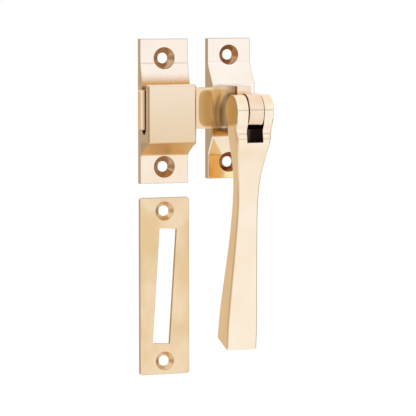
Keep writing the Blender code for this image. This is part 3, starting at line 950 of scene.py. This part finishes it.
def darken_slot(brass):
    """The walls of the mortice plate's slot are darkened."""
    low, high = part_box("mortice_plate")
    x, y, z = brass.axes()
    front = low.y / MM
    middle = (low.z + high.z) / 2 / MM
    reach = SLOT_LENGTH / 2 / MM + 1.0
    bottom, top = middle - reach, middle + reach
    left, right = low.x / MM, high.x / MM
    along = brass.band(z, (bottom - 0.5, bottom), (top, top + 0.5))
    across = brass.band(x, (left + 0.8, left + 1.0), (right - 1.0, right - 0.8))
    walls = brass.product(along, across, brass.rise(y, front + 0.25, front + 0.45, 0.7))
    brass.paint_patina_or_light(brass.ahead("mortice_plate", walls), PATINA_AND_SHADE)


# ---------------------------------------------------------------- materials

# Each casting has its own light and deep brass, paler or deeper by how brightly it shows: lit and
# shaded copies of one brass, painted light and shade. The base plate's is paled almost to cream, a
# painted highlight.
def base_brass():
    brass = Brass("base_brass_painted_light", (0.94, 0.86, 0.73), (0.92, 0.81, 0.65), ALONG_Z_GRAIN)
    paint_base_light(brass)
    shade_sides(brass, "base_plate", 1.0)
    shade_and_patina_holes(brass, "base_plate", (HOLE_INSET, HOLE_INSET), BASE_SINK_RADIUS, 0.9)
    return brass.finish()


def hook_brass():
    light, deep = (0.93, 0.755, 0.55), (0.90, 0.71, 0.49)
    brass = Brass("hook_brass_painted_light", light, deep, ALONG_Z_GRAIN, crevice=1.5 * MM)
    paint_hook_light(brass)
    shade_sides(brass, "hook_plate", 0.9)
    shade_and_patina_holes(brass, "hook_plate", (HOOK_HOLE_TOP, HOOK_HOLE_BOTTOM), SINK_RADIUS, 0.72)
    return brass.finish()


def mortice_brass():
    light, deep = (0.86, 0.63, 0.37), (0.78, 0.53, 0.26)
    brass = Brass("mortice_brass_painted_light", light, deep, ALONG_Z_GRAIN, gloss=0.2)
    darken_slot(brass)
    shade_sides(brass, "mortice_plate", 0.9)
    insets = (MORTICE_HOLE_INSET, MORTICE_HOLE_INSET)
    shade_and_patina_holes(brass, "mortice_plate", insets, MORTICE_SINK_RADIUS, 0.2)
    return brass.finish()


def nose_brass():
    # Deeper than the other castings: painted shade on the arm.
    light, deep = (0.90, 0.71, 0.50), (0.86, 0.64, 0.41)
    brass = Brass("nose_brass_painted_light", light, deep, ALONG_X_GRAIN, crevice=1.2 * MM)
    paint_arm_reflection(brass)
    paint_streak_reflections(brass)
    shade_lug(brass)
    return brass.finish()


def handle_brass():
    light, deep = (0.95, 0.775, 0.545), (0.93, 0.73, 0.49)
    brass = Brass("handle_brass_painted_light", light, deep, ALONG_Z_GRAIN, crevice=8.0 * MM)
    shade_fork(brass)
    return brass.finish()


def steel_material(name, colour, roughness):
    """Plain steel with darker patches and fine lines along Z."""
    nodes = MaterialNodes(name)
    lines = nodes.noise((4.0, 4.0, 0.8), 3.0, 0.6)
    patches = nodes.noise((0.5, 0.5, 0.5), 3.0, 0.6)
    dark = tuple(value * 0.6 for value in colour)
    mottled = nodes.mix(nodes.rise(patches, 0.35, 0.7), colour, dark)
    dullness = nodes.spread(lines, 0.3, 0.7, roughness - 0.08, roughness + 0.12)
    nodes.link(mottled, nodes.shader.inputs["Base Color"])
    nodes.link(dullness, nodes.shader.inputs["Roughness"])
    nodes.link(nodes.bump(lines, 0.3, 0.02 * MM), nodes.shader.inputs["Normal"])
    nodes.shader.inputs["Metallic"].default_value = 1.0
    return nodes.material


# ---------------------------------------------------------------- the object

STEEL_PARTS = (
    ("pivot_rivet", (0.55, 0.54, 0.52), 0.35),
    ("plain_washer", (0.62, 0.62, 0.60), 0.38),
    ("spring_washer", (0.40, 0.40, 0.42), 0.30),
    ("hinge_pin", (0.58, 0.57, 0.55), 0.30),
)


def set_material(obj, material):
    obj.data.materials.clear()
    obj.data.materials.append(material)


def add_casting(piece, node, body, material):
    set_material(piece, material)
    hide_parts(node)
    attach(piece, body)


add_casting(build_base_plate(), "base_plate", "plates", base_brass())
add_casting(build_hook_plate(), "hook_plate", "plates", hook_brass())
add_casting(build_mortice_plate(), "mortice_plate", "plates", mortice_brass())
add_casting(build_nose_arm(), "nose_arm", "nose", nose_brass())
add_casting(build_handle(), "handle", "lever", handle_brass())
for part, colour, roughness in STEEL_PARTS:
    set_material(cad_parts[part], steel_material(part + "_steel", colour, roughness))


# ---------------------------------------------------------------- studio

WALL_BESIDE = (0.62, 0.53, 0.42)
WALL_BEHIND = (0.76, 0.63, 0.47)
TABLE = (0.98, 0.98, 1.02)
WALL_RIGHT = (0.40, 0.30, 0.20)
SEAM = (0.58, 0.46, 0.32)
TENT_TOP = (1.05, 1.05, 1.10)
TENT_FRONT = (1.05, 1.12, 1.30)
WHITE = (1.0, 1.0, 1.0)

FLOOR_DROP = 1.20
FLOOR_RADIUS = 30.0


def build_floor():
    bm = bmesh.new()
    bmesh.ops.create_circle(bm, cap_ends=True, segments=FINE_CIRCLE, radius=FLOOR_RADIUS)
    floor = mesh_object("studio_floor", bm)
    floor.location = (0, 0, cad_box[0][2] - FLOOR_DROP)
    nodes = MaterialNodes("floor_paper")
    fibres = nodes.noise((0.02, 0.02, 0.02), 4.0, 0.6)
    paper = nodes.mix(fibres, (0.95, 0.95, 0.95), (0.92, 0.92, 0.92))
    nodes.link(paper, nodes.shader.inputs["Base Color"])
    nodes.shader.inputs["Roughness"].default_value = 0.9
    nodes.shader.inputs["Emission Color"].default_value = (1.0, 1.0, 1.0, 1.0)
    nodes.shader.inputs["Emission Strength"].default_value = 0.08
    set_material(floor, nodes.material)
    floor.visible_glossy = False


class WorldNodes(Nodes):
    """The same short forms for the studio's surroundings."""

    def __init__(self, world):
        super().__init__(world.node_tree, "Background")

    def towards(self, direction, start, end):
        """0 to 1 as the way looked along turns towards a direction."""
        way = self.add("ShaderNodeTexCoord").outputs["Generated"]
        turn = self.add("ShaderNodeVectorMath", operation="DOT_PRODUCT")
        turn.inputs[1].default_value = direction
        self.link(way, turn.inputs[0])
        return self.rise(turn.outputs["Value"], start, end)


def build_world():
    """White to the eye; in reflections a bright tent in front and above, dimmer behind and beside."""
    world = bpy.data.worlds.new("studio")
    bpy.context.scene.world = world
    world.use_nodes = True
    nodes = WorldNodes(world)
    behind, right, front = (0, 1, 0), (1, 0, 0), (0.334, -0.942, 0)
    down, up = (0, 0, -1), (0, 0, 1)
    tent = nodes.mix(nodes.towards(behind, 0.4, 0.9), WALL_BESIDE, WALL_BEHIND)
    tent = nodes.mix(nodes.towards(right, 0.6, 0.8), tent, WALL_RIGHT)
    tent = nodes.mix(nodes.towards(down, 0.2, 0.6), tent, TABLE)
    tent = nodes.mix(nodes.towards(up, 0.05, 0.35), tent, TENT_TOP)
    tent = nodes.mix(nodes.towards(front, 0.45, 0.8), tent, TENT_FRONT)
    seam = nodes.product(nodes.towards(up, 0.12, 0.19), nodes.towards(up, 0.26, 0.19))
    tent = nodes.mix(seam, tent, SEAM)
    rays = nodes.add("ShaderNodeLightPath")
    shown = nodes.mix(rays.outputs["Is Glossy Ray"], WHITE, tent)
    nodes.link(shown, nodes.shader.inputs["Color"])
    nodes.shader.inputs["Strength"].default_value = 1.0


def build_camera():
    """A long lens that looks at the object from the left and a little above."""
    azimuth = math.radians(-19.6)
    elevation = math.radians(5.4)
    distance = 1.0
    centre = Vector((-0.0077, 0, -0.0400))
    direction = Vector((
        math.sin(azimuth) * math.cos(elevation),
        -math.cos(azimuth) * math.cos(elevation),
        math.sin(elevation),
    ))
    data = bpy.data.cameras.new("photo_camera")
    data.sensor_width = 36.0
    data.lens = 216.0
    data.clip_end = 200.0
    camera = bpy.data.objects.new("photo_camera", data)
    camera.location = centre + direction * distance
    camera.rotation_euler = (-direction).to_track_quat("-Z", "Y").to_euler()
    bpy.context.scene.collection.objects.link(camera)
    bpy.context.scene.camera = camera


build_floor()
build_world()
build_camera()
bpy.context.scene.view_settings.view_transform = "Standard"
